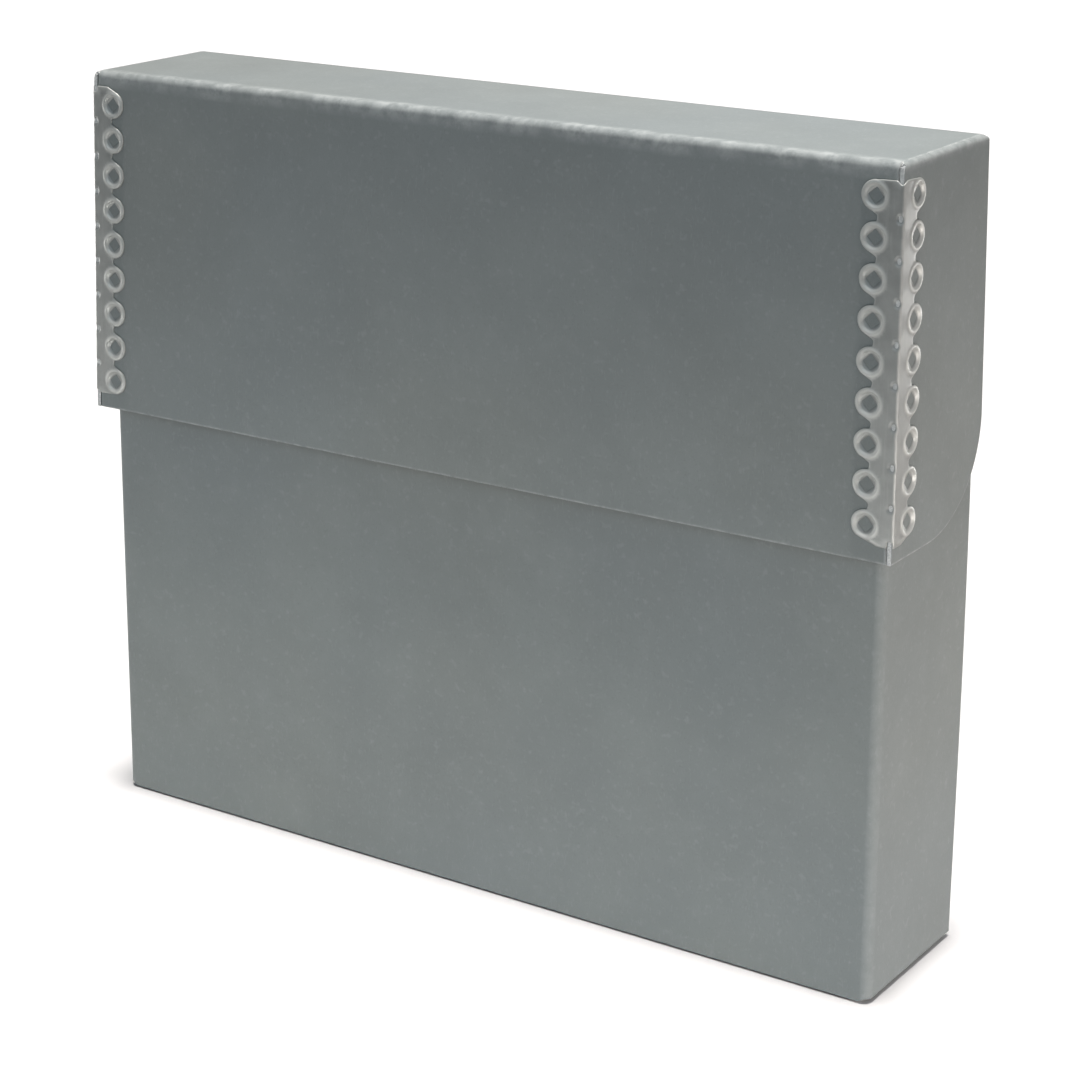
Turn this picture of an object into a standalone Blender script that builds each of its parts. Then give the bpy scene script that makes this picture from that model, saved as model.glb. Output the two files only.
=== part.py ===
"""Flip-top archival document case, made of folded board with two metal corner stays.

The case stands upright on its narrow bottom, with its wide front towards -Y. The origin is the
centre of the footprint, on the floor. Every folded panel is a solid of its own. The panels of the
lid hang from one empty on the rear fold, which is the line that the lid turns about.
Lengths are in metres.
"""
import math

import bmesh
import bpy
from mathutils import Vector
from mathutils.geometry import delaunay_2d_cdt

# Overall sizes, over the lid.
HEIGHT = 0.266
LID_WIDTH = 0.311
LID_DEPTH = 0.057
LID_DROP = 0.12

# Board, and the room between pieces.
BOARD = 0.0015
TOUCH_GAP = 0.0003
LID_SIDE_ROOM = 0.001
LID_FRONT_ROOM = 0.0007
LID_TOP_ROOM = 0.0005
FOLD_RADIUS = 0.0012
FOLD_FACETS = 3
CREASE_FACETS = 4

# The lid's flaps lean outwards, by this much at their lower edges.
SIDE_SPREAD = 0.0018
FRONT_SPREAD = 0.0038
FLAP_CORNER_RADIUS = 0.034
FLAP_CORNER_FACETS = 16

# Case details. The case is a little deeper at the floor than inside the lid.
CASE_LEAN = 0.003
LOWER_CORNER_RADIUS = 0.005
LOWER_CORNER_FACETS = 6
END_WALL_LIFT = 0.0012
END_TAB_HEIGHT = 0.025

# Corner stays: an L-shaped strip of lobes, each with a square hole standing on its corner.
STAY_THICKNESS = 0.0005
STAY_TOP_GAP = 0.0052
STAY_LOBES = 9
STAY_PITCH = 0.0123
STAY_TOP_END = 0.005
STAY_LOW_END = 0.0062
STAY_BEND_RADIUS = 0.0009
STAY_BEND_LINES = 4
LOBE_CENTRE = 0.009
LOBE_RADIUS = 0.0048
LOBE_SLANT_ANGLE = 40
LOBE_FACETS = 8
NOTCH_DEPTH = 0.0082
NOTCH_HALF_WIDTH = 0.0007
HOLE_HALF_DIAGONAL = 0.0024
END_SHOULDER = 0.0076
END_DIP_DEPTH = 0.0012
END_DIP_HALF_WIDTH = 0.0025

# How the stays' flat outline is filled with triangles: only inside it, and taking points as one
# when they are closer than this.
INSIDE_ONLY = 1
SAME_PLACE = 1e-9

# Worked-out places.
STAY_LENGTH = STAY_TOP_END + STAY_LOW_END + (STAY_LOBES - 1) * STAY_PITCH
STAY_STANDOFF = TOUCH_GAP + STAY_THICKNESS
STAY_LOW_SPREAD = (FRONT_SPREAD * (STAY_TOP_GAP + STAY_LENGTH) / LID_DROP
                   * (LID_DEPTH + STAY_STANDOFF) / LID_DEPTH)
OVERALL_DEPTH = LID_DEPTH + max(FRONT_SPREAD, STAY_LOW_SPREAD + STAY_STANDOFF)
REAR_Y = OVERALL_DEPTH / 2
LID_FRONT_Y = REAR_Y - LID_DEPTH
LID_HALF_WIDTH = LID_WIDTH / 2
CASE_HALF_WIDTH = LID_HALF_WIDTH - BOARD - LID_SIDE_ROOM
CASE_FRONT_Y = LID_FRONT_Y + BOARD + LID_FRONT_ROOM
CASE_DEPTH = REAR_Y - CASE_FRONT_Y
CASE_HEIGHT = HEIGHT - BOARD - LID_TOP_ROOM
LAYER = BOARD + TOUCH_GAP
BACK_HALF_WIDTH = CASE_HALF_WIDTH - LAYER
BOTTOM_HALF_WIDTH = CASE_HALF_WIDTH - 2 * LAYER
FLAP_TOP_Z = HEIGHT - LAYER
FLAP_LOW_Z = HEIGHT - LID_DROP
HINGE = Vector((0, REAR_Y, HEIGHT))

GREY_BOARD = (0.25, 0.275, 0.265)
PALE_BOARD = (0.31, 0.33, 0.32)
STEEL = (0.42, 0.42, 0.40)


def clear_scene():
    """Start from an empty scene."""
    for old in list(bpy.data.objects):
        bpy.data.objects.remove(old, do_unlink=True)


def add_empty(name, place):
    """Add the empty that the pieces of one body hang from."""
    empty = bpy.data.objects.new(name, None)
    empty.location = place
    empty.empty_display_size = 0.02
    bpy.context.collection.objects.link(empty)
    return empty


def make_material(name, colour, roughness, metallic):
    """Make a piece's own Principled material."""
    material = bpy.data.materials.new(name)
    material.use_nodes = True
    shader = material.node_tree.nodes["Principled BSDF"]
    shader.inputs["Base Color"].default_value = (*colour, 1.0)
    shader.inputs["Roughness"].default_value = roughness
    shader.inputs["Metallic"].default_value = metallic
    return material


def add_piece(name, shape, parent, colour=GREY_BOARD, roughness=0.9, metallic=0.0):
    """Turn a finished shape, in world coordinates, into one object under its parent."""
    bmesh.ops.translate(shape, vec=-parent.location, verts=shape.verts)
    bmesh.ops.recalc_face_normals(shape, faces=shape.faces)
    mesh = bpy.data.meshes.new(name)
    shape.to_mesh(mesh)
    shape.free()
    mesh.materials.append(make_material(name, colour, roughness, metallic))
    piece = bpy.data.objects.new(name, mesh)
    piece.parent = parent
    bpy.context.collection.objects.link(piece)
    return piece


def arc(centre, radius, start, end, steps):
    """Points along an arc, with its angles in degrees."""
    points = []
    for step in range(steps + 1):
        angle = math.radians(start + (end - start) * step / steps)
        points.append((centre[0] + radius * math.cos(angle), centre[1] + radius * math.sin(angle)))
    return points


def rectangle(low_a, high_a, low_b, high_b):
    """The four corners of an upright rectangle."""
    return [(low_a, low_b), (high_a, low_b), (high_a, high_b), (low_a, high_b)]


def board_plate(outline, place, soft_edge=None):
    """Extrude an outline through one board thickness.

    place turns (a, b, depth) into a point, with depth 0 on the outer face. The edges of the outer
    face whose middle passes soft_edge are rounded, as a folded edge is.
    """
    shape = bmesh.new()
    outer = [shape.verts.new((a, b, 0)) for a, b in outline]
    face = shape.faces.new(outer)
    rim = list(face.edges)
    grown = bmesh.ops.extrude_face_region(shape, geom=[face])
    moved = [item for item in grown["geom"] if isinstance(item, bmesh.types.BMVert)]
    bmesh.ops.translate(shape, vec=(0, 0, BOARD), verts=moved)
    if soft_edge:
        soft = []
        for edge in rim:
            middle = (edge.verts[0].co + edge.verts[1].co) / 2
            if soft_edge(middle.x, middle.y):
                soft.append(edge)
        bmesh.ops.bevel(shape, geom=soft, offset=FOLD_RADIUS, segments=FOLD_FACETS, profile=0.5,
                        affect="EDGES", clamp_overlap=True)
    for vert in shape.verts:
        vert.co = place(*vert.co)
    return shape


def spread(point):
    """Lean a point of the lid's flaps outwards, more the lower it lies."""
    drop = (HEIGHT - point.z) / LID_DROP
    forward = (REAR_Y - point.y) / LID_DEPTH
    x = point.x * (1 + SIDE_SPREAD / LID_HALF_WIDTH * drop)
    y = point.y - FRONT_SPREAD * drop * forward
    return Vector((x, y, point.z))


def spread_shape(shape):
    """Lean every point of a flap or a stay."""
    for vert in shape.verts:
        vert.co = spread(vert.co)
    return shape


def lean_shape(shape):
    """Lean the case's front forwards towards the floor, and widen all that is behind it to match."""
    for vert in shape.verts:
        rise = 1 - vert.co.z / CASE_HEIGHT
        forward = (REAR_Y - vert.co.y) / CASE_DEPTH
        vert.co.y -= CASE_LEAN * rise * forward
    return shape


def wall_outline(half_width, top):
    """Front or back wall: square at the top, rounded at the two lower corners."""
    low_right = (half_width - LOWER_CORNER_RADIUS, LOWER_CORNER_RADIUS)
    low_left = (-low_right[0], LOWER_CORNER_RADIUS)
    points = arc(low_left, LOWER_CORNER_RADIUS, 180, 270, LOWER_CORNER_FACETS)
    points += arc(low_right, LOWER_CORNER_RADIUS, 270, 360, LOWER_CORNER_FACETS)
    points += [(half_width, top), (-half_width, top)]
    return points


def build_front_panel(parent):
    """The wide front wall, whose lower part stays in view under the lid."""
    outline = wall_outline(CASE_HALF_WIDTH, CASE_HEIGHT)
    shape = board_plate(outline, lambda a, b, depth: Vector((a, CASE_FRONT_Y + depth, b)),
                        soft_edge=lambda a, b: b < CASE_HEIGHT - BOARD)
    add_piece("front_panel", lean_shape(shape), parent)


def build_back_panel(parent):
    """The wide back wall, which the lid folds from. It fits between the outer end walls."""
    top = HEIGHT - LAYER
    outline = wall_outline(BACK_HALF_WIDTH, top)
    shape = board_plate(outline, lambda a, b, depth: Vector((a, REAR_Y - depth, b)),
                        soft_edge=lambda a, b: b < top - BOARD)
    add_piece("back_panel", shape, parent)


def build_rear_crease(parent):
    """The scored fold on top of the back wall, with its outer edge on the hinge line."""
    outline = [(REAR_Y - BOARD, HEIGHT - BOARD), (REAR_Y, HEIGHT - BOARD)]
    outline += arc((REAR_Y - FOLD_RADIUS, HEIGHT - FOLD_RADIUS), FOLD_RADIUS, 0, 90, CREASE_FACETS)
    outline += [(REAR_Y - BOARD, HEIGHT)]
    shape = bmesh.new()
    face = shape.faces.new([shape.verts.new((-BACK_HALF_WIDTH, y, z)) for y, z in outline])
    grown = bmesh.ops.extrude_face_region(shape, geom=[face])
    moved = [item for item in grown["geom"] if isinstance(item, bmesh.types.BMVert)]
    bmesh.ops.translate(shape, vec=(2 * BACK_HALF_WIDTH, 0, 0), verts=moved)
    add_piece("rear_crease", shape, parent)


def build_bottom_panel(parent):
    """The narrow bottom that the case stands on, between the front and back walls."""
    outline = rectangle(-BOTTOM_HALF_WIDTH, BOTTOM_HALF_WIDTH,
                        CASE_FRONT_Y + LAYER, REAR_Y - LAYER)
    shape = board_plate(outline, lambda a, b, depth: Vector((a, b, depth)))
    add_piece("bottom_panel", lean_shape(shape), parent, PALE_BOARD)


def build_end_layer(parent, name, side, layer, low_z, high_z, colour):
    """One upright layer of an end. Layer 0 is the outermost, and alone reaches the back."""
    outer_x = CASE_HALF_WIDTH - layer * LAYER
    rear_y = REAR_Y - LAYER if layer else REAR_Y
    outline = rectangle(CASE_FRONT_Y + LAYER, rear_y, low_z, high_z)
    shape = board_plate(outline, lambda a, b, depth: Vector((side * (outer_x - depth), a, b)))
    add_piece(name, lean_shape(shape), parent, colour)


def build_case(parent):
    """The case: four walls, the bottom, and the layers folded over each end."""
    build_front_panel(parent)
    build_back_panel(parent)
    build_rear_crease(parent)
    build_bottom_panel(parent)
    for side_name, side in (("left", -1), ("right", 1)):
        build_end_layer(parent, f"outer_end_wall_{side_name}", side, 0,
                        END_WALL_LIFT, CASE_HEIGHT, GREY_BOARD)
        build_end_layer(parent, f"inner_end_wall_{side_name}", side, 1,
                        END_WALL_LIFT, CASE_HEIGHT, GREY_BOARD)
        build_end_layer(parent, f"bottom_end_tab_{side_name}", side, 2,
                        LAYER, LAYER + END_TAB_HEIGHT, PALE_BOARD)


def build_lid_top(parent):
    """The lid's top panel, from the rear crease to the front fold."""
    outline = rectangle(-LID_HALF_WIDTH, LID_HALF_WIDTH, LID_FRONT_Y, REAR_Y - LAYER)
    shape = board_plate(outline, lambda a, b, depth: Vector((a, b, HEIGHT - depth)),
                        soft_edge=lambda a, b: b < REAR_Y - LAYER - FOLD_RADIUS)
    add_piece("lid_top_panel", shape, parent)


def build_lid_front(parent):
    """The lid's front flap, hanging over the upper part of the front wall, between the side flaps."""
    half_width = LID_HALF_WIDTH - LAYER
    outline = rectangle(-half_width, half_width, FLAP_LOW_Z, FLAP_TOP_Z)
    shape = board_plate(outline, lambda a, b, depth: Vector((a, LID_FRONT_Y + depth, b)))
    add_piece("lid_front_flap", spread_shape(shape), parent)


def build_lid_side(parent, side_name, side):
    """A side flap of the lid, with its lower rear corner cut to a large radius.

    Its front edge closes the end of the front flap and shows its cut board to the front.
    """
    corner = (REAR_Y - FLAP_CORNER_RADIUS, FLAP_LOW_Z + FLAP_CORNER_RADIUS)
    outline = [(LID_FRONT_Y, FLAP_TOP_Z), (LID_FRONT_Y, FLAP_LOW_Z)]
    outline += arc(corner, FLAP_CORNER_RADIUS, 270, 360, FLAP_CORNER_FACETS)
    outline += [(REAR_Y, FLAP_TOP_Z)]
    shape = board_plate(outline, lambda a, b, depth: Vector((side * (LID_HALF_WIDTH - depth), a, b)))
    add_piece(f"lid_side_flap_{side_name}", spread_shape(shape), parent)


def lobe_points(middle):
    """One lobe's edge, as (distance from the bend, distance along the strip).

    The near flank is a plain arc and the far flank runs out on a slant, so that the strip looks
    different when it is turned end for end.
    """
    points = [(NOTCH_DEPTH, middle - STAY_PITCH / 2 + NOTCH_HALF_WIDTH)]
    points += arc((LOBE_CENTRE, middle), LOBE_RADIUS, -90, LOBE_SLANT_ANGLE, LOBE_FACETS)
    points.append((NOTCH_DEPTH, middle + STAY_PITCH / 2 - NOTCH_HALF_WIDTH))
    return [(across, min(max(along, 0.0), STAY_LENGTH)) for across, along in points]


def bend_offsets():
    """Where the lines of the bend lie across the flat strip."""
    half = STAY_BEND_RADIUS * math.pi / 4
    return [half * (2 * line / (STAY_BEND_LINES - 1) - 1) for line in range(STAY_BEND_LINES)]


def end_points(along, inward):
    """The end of the strip between its two legs, dipping at the bend."""
    inner = [(across, along + inward * END_DIP_DEPTH) for across in bend_offsets()]
    return [(-END_DIP_HALF_WIDTH, along)] + inner + [(END_DIP_HALF_WIDTH, along)]


def lobe_middles(first_end):
    """Where the lobes lie along the strip, from its first end."""
    return [first_end + STAY_PITCH * lobe for lobe in range(STAY_LOBES)]


def flat_stay(first_end):
    """The flat strip: its points, its closed outline, and the other lines to keep."""
    middles = lobe_middles(first_end)
    leg = [(END_SHOULDER, 0.0)]
    for middle in middles:
        leg += lobe_points(middle)
    leg.append((END_SHOULDER, STAY_LENGTH))
    outline = end_points(0.0, 1) + leg
    outline += list(reversed(end_points(STAY_LENGTH, -1)))
    outline += [(-across, along) for across, along in reversed(leg)]
    points = list(outline)
    lines = []
    for across in bend_offsets():
        ends = [index for index, point in enumerate(outline) if abs(point[0] - across) < SAME_PLACE]
        lines.append(tuple(ends))
    for middle in middles:
        for side in (-1, 1):
            first = len(points)
            for turn in range(4):
                angle = turn * math.pi / 2
                points.append((side * LOBE_CENTRE + HOLE_HALF_DIAGONAL * math.cos(angle),
                               middle + HOLE_HALF_DIAGONAL * math.sin(angle)))
            lines += [(first + turn, first + (turn + 1) % 4) for turn in range(4)]
    return points, list(range(len(outline))), lines


def in_hole(across, along, first_end):
    """Whether a point of the flat strip lies in one of the square holes."""
    middle = min(lobe_middles(first_end), key=lambda place: abs(place - along))
    return abs(abs(across) - LOBE_CENTRE) + abs(along - middle) < HOLE_HALF_DIAGONAL


def triangle_middle(points, triangle):
    """The middle of a flat triangle."""
    across = sum(points[index].x for index in triangle) / 3
    along = sum(points[index].y for index in triangle) / 3
    return across, along


def bent_point(side, across, along, lift):
    """A point of the flat strip, bent round the lid's front corner on that side."""
    half = STAY_BEND_RADIUS * math.pi / 4
    angle = min(max(across, -half), half) / STAY_BEND_RADIUS + math.pi / 4
    radius = STAY_BEND_RADIUS + lift
    x = LID_HALF_WIDTH + TOUCH_GAP - STAY_BEND_RADIUS + radius * math.sin(angle)
    y = LID_FRONT_Y - TOUCH_GAP + STAY_BEND_RADIUS - radius * math.cos(angle)
    x += min(across + half, 0.0)
    y += max(across - half, 0.0)
    return Vector((side * x, y, HEIGHT - STAY_TOP_GAP - along))


def build_stay(parent, side_name, side):
    """A metal stay, which holds the front flap and one side flap together.

    The left one is the same strip turned end for end, so its lobes slant the other way.
    """
    first_end = STAY_TOP_END if side > 0 else STAY_LOW_END
    points, outline, lines = flat_stay(first_end)
    made = delaunay_2d_cdt([Vector(point) for point in points], lines, [outline],
                           INSIDE_ONLY, SAME_PLACE)
    flat, triangles = made[0], made[2]
    shape = bmesh.new()
    layers = []
    for lift in (0.0, STAY_THICKNESS):
        row = []
        for point in flat:
            along = point.y if side > 0 else STAY_LENGTH - point.y
            row.append(shape.verts.new(bent_point(side, point.x, along, lift)))
        layers.append(row)
    solid = [triangle for triangle in triangles
             if not in_hole(*triangle_middle(flat, triangle), first_end)]
    edges = set()
    for triangle in solid:
        shape.faces.new([layers[1][index] for index in triangle])
        shape.faces.new([layers[0][index] for index in reversed(triangle)])
        edges.update(zip(triangle, triangle[1:] + triangle[:1]))
    for start, end in sorted(edges):
        if (end, start) not in edges:
            shape.faces.new([layers[0][start], layers[0][end], layers[1][end], layers[1][start]])
    loose = [vert for vert in shape.verts if not vert.link_faces]
    bmesh.ops.delete(shape, geom=loose, context="VERTS")
    add_piece(f"corner_stay_{side_name}", spread_shape(shape), parent, STEEL, 0.45, 0.8)


def build_lid(parent):
    """The lid: its top, its three flaps and its two corner stays."""
    build_lid_top(parent)
    build_lid_front(parent)
    for side_name, side in (("left", -1), ("right", 1)):
        build_lid_side(parent, side_name, side)
        build_stay(parent, side_name, side)


clear_scene()
build_case(add_empty("case", Vector((0, 0, 0))))
build_lid(add_empty("lid_hinge", HINGE))
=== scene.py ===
"""The looks of a flip-top archival document case: folded grey board and two pressed metal stays.

Every sheet of board is built as a folded sheet of its real thickness, with its own creases, cut
edges and small dents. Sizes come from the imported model, and all lengths are in metres.
"""
import math

import bpy
import numpy as np
from mathutils import Matrix, Vector, noise
from mathutils.geometry import delaunay_2d_cdt


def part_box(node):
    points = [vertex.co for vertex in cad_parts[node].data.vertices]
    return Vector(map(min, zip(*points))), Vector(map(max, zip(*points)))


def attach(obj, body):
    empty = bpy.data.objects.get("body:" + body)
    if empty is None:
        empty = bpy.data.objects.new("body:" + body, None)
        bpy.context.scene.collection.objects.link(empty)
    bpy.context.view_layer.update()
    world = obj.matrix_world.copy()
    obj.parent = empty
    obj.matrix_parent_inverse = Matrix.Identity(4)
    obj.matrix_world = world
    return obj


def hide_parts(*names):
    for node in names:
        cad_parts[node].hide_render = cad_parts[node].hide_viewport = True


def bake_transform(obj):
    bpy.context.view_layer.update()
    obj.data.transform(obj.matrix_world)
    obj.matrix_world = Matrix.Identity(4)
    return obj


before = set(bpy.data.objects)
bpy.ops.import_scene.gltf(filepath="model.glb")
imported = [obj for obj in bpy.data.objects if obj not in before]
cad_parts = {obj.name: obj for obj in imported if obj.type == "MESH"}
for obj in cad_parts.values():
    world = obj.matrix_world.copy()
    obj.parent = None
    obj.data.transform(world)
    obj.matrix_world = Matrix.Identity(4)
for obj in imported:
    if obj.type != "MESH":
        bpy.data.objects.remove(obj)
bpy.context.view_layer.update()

# Places and sizes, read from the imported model.
LID_LOW, LID_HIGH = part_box("lid_top_panel")
FLAP_BOX_LOW, FLAP_BOX_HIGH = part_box("lid_side_flap_right")
BACK_LOW, BACK_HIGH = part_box("back_panel")
WALL_LOW, WALL_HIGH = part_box("outer_end_wall_right")
FRONT_LOW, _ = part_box("front_panel")
_, TAB_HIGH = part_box("bottom_end_tab_right")
STAY_LOW, STAY_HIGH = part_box("corner_stay_right")
HEIGHT = LID_HIGH.z
LID_HALF = LID_HIGH.x
LID_FRONT = LID_LOW.y
FLAP_LOW = FLAP_BOX_LOW.z
FLAP_DROP = HEIGHT - FLAP_LOW
SIDE_SPREAD = FLAP_BOX_HIGH.x - LID_HALF
FRONT_SPREAD = LID_FRONT - FLAP_BOX_LOW.y
REAR = BACK_HIGH.y
BACK_HALF = BACK_HIGH.x
BOARD = BACK_HIGH.y - BACK_LOW.y
LID_DEPTH = REAR - LID_FRONT
CASE_HALF = WALL_HIGH.x
CASE_TOP = WALL_HIGH.z
WALL_LIFT = WALL_LOW.z
LAYER = CASE_HALF - BACK_HALF

# The case's front leans out towards the floor, as in the model.
CASE_LEAN = 0.003
CASE_FRONT = FRONT_LOW.y + CASE_LEAN
CASE_DEPTH = REAR - CASE_FRONT

# Folds, cuts and the small faults of hand-folded board. A _SCALE is in grains of noise per metre.
CUT_ROUND = 0.00036
BORDER_WEAR = 0.85
SEAM = 0.0018
CASE_FOLD = 0.0032
BACK_FOLD = 0.002
BOTTOM_FOLD = 0.0008
WALL_FOOT_FOLD = 0.0005
TOP_FOLD = 0.0022
SIDE_FOLD = SEAM
CREASE_FOLD = 0.002
LOWER_CORNER = 0.005
FLAP_CORNER = 0.034
FREE_CORNER = 0.003
EDGE_BOW = 0.0012
EDGE_EASE = 0.3
RAGGED = 0.2
RAGGED_SCALE = 700
WARP = 0.00012
WARP_SCALE = 18
WALL_DENT = 0.00008
WALL_DENT_SCALE = 160
CRUSH = 0.00022
CRUSH_SCALE = 95
KNOCK = 0.00012
KNOCK_SCALE = 330
TOP_FOLD_REACH = 0.006
TOP_WEAR_SCALE = 120
SIDE_FOLD_WEAR = 0.7
CREASE_WEAR = 0.35
CORNER_WEAR = 0.15
FOOT_WEAR = 0.3
TAB_FOLD_WEAR = 0.5
FOLD_STEPS = 8
NEAR_MARKS = (CUT_ROUND, 0.0009, 0.0017, 0.0026, 0.0037, 0.005)
CORNER_STEPS = 22
FREE_CORNER_STEPS = 8
FINE = 0.0013
MEDIUM = 0.004
SAME_PLACE = 1e-9

# Corner stays, as flat strips: distance across from the bend, and distance along from one end.
# Angles are in degrees.
METAL = 0.0003
METAL_LIFT = 0.0004
STAY_LENGTH = STAY_HIGH.z - STAY_LOW.z
STAY_LOBES = 9
STAY_PITCH = 0.0123
STAY_FIRST = 0.005
STAY_BEND = 0.0009
LOBE_ACROSS = 0.009
LOBE_RADIUS = 0.0047
LOBE_START = -95
LOBE_SLANT = 50
LOBE_STEPS = 14
NOTCH_ACROSS = 0.0083
NOTCH_HALF = 0.0005
ROUND_END_ACROSS = 0.0074
ROUND_END_RISE = 0.0002
LEAST_ALONG = 0.0004
SLANT_END_ACROSS = 0.005
BLUNT_END_ACROSS = 0.0066
BLUNT_LOBE_END = 72
BLUNT_STEPS = 5
END_DIP = 0.0013
END_DIP_HALF = 0.0022
SLOT_DEPTH = 0.0021
SLOT_HALF = 0.0010
END_CENTRE = -0.0008
HOLE_REACH = 0.0026
HOLE_TURN = 7
DISH_RADIUS = 0.0035
DISH_SLOPE = 0.0007
DISH_DEPTH = 0.0004
RING_RADIUS = 0.0039
RING_HALF = 0.0010
RING_HEIGHT = 0.00024
RIDGE_HEIGHT = 0.00018
RIDGE_LENGTH = 0.0075
DIMPLE_CENTRE = -0.0009
DIMPLE_ACROSS = 0.0017
DIMPLE_ALONG = 0.0020
DIMPLE_DEPTH = 0.0008
RIM_DROP = 0.8
# Painted highlights on the stays, from 0 to 1: on the rim, the ring crests, the dish walls and the
# end ridge.
RIM_HIGHLIGHT = 0.4
RIM_REACH = 0.0006
RING_HIGHLIGHT = 0.8
DISH_HIGHLIGHT = 0.9
RIDGE_HIGHLIGHT = 0.5
STAY_HALF_WIDTH = 0.014
STAY_GRAIN = 0.0009
STAY_FINE = 0.0003
EYE_POINTS = 36
BEND_LINES = 7
INSIDE_ONLY = 1
SAME_POINT = 1e-7

# The camera stands right of the front, a little above the lid.
CAMERA_PLACE = Vector((0.4964, -0.7214, 0.4126))
CAMERA_YAW = 33.85
CAMERA_PITCH = 15.30
CAMERA_ROLL = -0.09
CAMERA_LENS = 91.13
CAMERA_SENSOR = 36
CAMERA_SHIFT_Y = -0.15

# The floor, just under the case.
FLOOR_REACH = 6.0
FLOOR_Z = -0.0002

# Lights: an overhead sun, a dim sky, and softboxes (name, place, target, size, power, colour,
# and whether it lights the floor as well as the case).
SKY_ABOVE = (0.18, 0.20, 0.22)
SKY_BELOW = (0.05, 0.05, 0.05)
SUN_STRENGTH = 3.9
SUN_SOFTNESS = 8
SUN_TILT = (1.5, 1.0, 0)
SUN_COLOUR = (1.05, 1.0, 0.97)
NEUTRAL = (1.02, 1.0, 0.99)
WARM = (1.08, 1.0, 0.97)
COOL = (0.76, 1.0, 1.22)
SOFTBOXES = [
    ("low_front", (0.0, -0.40, 0.03), (0.0, -0.03, 0.06), (1.0, 0.06), 0.30, NEUTRAL, False),
    ("foot_front", (0.0, -0.25, 0.02), (0.0, -0.03, 0.03), (0.9, 0.04), 0.80, NEUTRAL, False),
    ("high_front", (0.1, -1.0, 0.9), (0.0, 0.0, 0.1), (1.2, 0.6), 1.7, COOL, False),
    ("over_right", (0.10, 0.03, 0.62), (0.12, 0.01, 0.26), (0.09, 0.09), 0.85, NEUTRAL, False),
    ("low_right", (0.50, 0.0, 0.04), (0.15, 0.0, 0.05), (0.5, 0.06), 1.1, WARM, True),
    ("foot_right", (0.27, 0.0, 0.012), (0.155, 0.0, 0.0), (0.3, 0.02), 0.05, WARM, True),
    ("far_right", (0.75, 0.0, 0.10), (0.15, 0.0, 0.08), (0.5, 0.15), 0.7, WARM, True),
    ("low_left", (-0.75, 0.0, 0.10), (-0.15, 0.0, 0.08), (0.5, 0.15), 1.8, NEUTRAL, False),
    ("low_back", (0.0, 0.70, 0.06), (0.0, 0.03, 0.08), (1.0, 0.1), 3.0, NEUTRAL, False),
]

# Colours, as pairs where noise runs between two.
BOARD_TONE = (0.205, 0.222, 0.214)
BOARD_PALE = (0.40, 0.42, 0.41)
BOARD_COOL = (0.185, 0.212, 0.222)
INNER_SHARE = 1.12
CUT_EDGE = ((0.42, 0.43, 0.42), (0.68, 0.69, 0.67))
METAL_COLOURS = ((0.265, 0.275, 0.262), (0.315, 0.325, 0.31))
METAL_SCUFF = (0.37, 0.38, 0.36)
# A painted highlight colour for the stays' rims, ring crests, dish walls and end ridge.
METAL_HIGHLIGHT = (0.52, 0.53, 0.50)
FLOOR_COLOURS = ((0.80, 0.80, 0.80), (0.82, 0.82, 0.82))


# ---------------------------------------------------------------- numbers and shapes

def wander(point, scale, seed=0.0):
    """Smooth noise, from about -1 to 1, at a point."""
    return noise.noise(Vector(point) * scale + Vector((seed, -seed, 2 * seed)))


def wanders(points, scale, seed=0.0):
    """Smooth noise at every point of a grid."""
    flat = points.reshape(-1, 3)
    return np.array([wander(point, scale, seed) for point in flat]).reshape(points.shape[:-1])


def spread(points):
    """Lean the lid's flaps outwards, more the lower they hang."""
    moved = points.copy()
    drop = (HEIGHT - points[..., 2]) / FLAP_DROP
    moved[..., 0] *= 1 + SIDE_SPREAD / LID_HALF * drop
    moved[..., 1] -= FRONT_SPREAD * drop * (REAR - points[..., 1]) / LID_DEPTH
    return moved


def lean(points):
    """Lean the case's front out towards the floor, and bow the rear edges of its ends."""
    moved = points.copy()
    rise = points[..., 2] / CASE_TOP
    forward = (REAR - points[..., 1]) / CASE_DEPTH
    moved[..., 1] -= CASE_LEAN * (1 - rise) * forward
    bow = EDGE_BOW * np.sin(math.pi * np.clip(rise, 0, 1)) * (1 - np.clip(forward, 0, 1)) ** 2
    moved[..., 0] += bow * np.sign(points[..., 0]) * (np.abs(points[..., 0]) / CASE_HALF) ** 8
    return moved


def marks(length, step):
    """Distances along a flat stretch, with close ones at both of its ends."""
    even = np.linspace(0, length, max(round(length / step), 1) + 1)
    close = np.array([near for near in NEAR_MARKS if 3 * near < length])
    return np.unique(np.concatenate([even, close, length - close]).round(7))


def folded(corners, radii, step):
    """Points along a path with its right-angled corners rounded, and which are on a fold."""
    corners = [np.array(corner, float) for corner in corners]
    points, folds = [], []
    start = corners[0]
    for index in range(1, len(corners)):
        ahead = corners[index] - corners[index - 1]
        ahead /= np.linalg.norm(ahead)
        last = index == len(corners) - 1
        radius = 0.0 if last else radii[index - 1]
        end = corners[index] - ahead * radius
        for distance in marks(np.linalg.norm(end - start), step):
            points.append(start + ahead * distance)
            folds.append(0.0)
        if not last:
            turn = corners[index + 1] - corners[index]
            turn /= np.linalg.norm(turn)
            centre = end + turn * radius
            for part in range(1, FOLD_STEPS):
                angle = math.pi / 2 * part / FOLD_STEPS
                points.append(centre + radius * (ahead * math.sin(angle) - turn * math.cos(angle)))
                folds.append(1.0)
            start = centre + ahead * radius
    return np.array(points), np.array(folds)


def normals_of(grid):
    """Unit normals of a grid of points."""
    normals = np.cross(np.gradient(grid, axis=0), np.gradient(grid, axis=1))
    return normals / np.linalg.norm(normals, axis=-1, keepdims=True)


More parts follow.
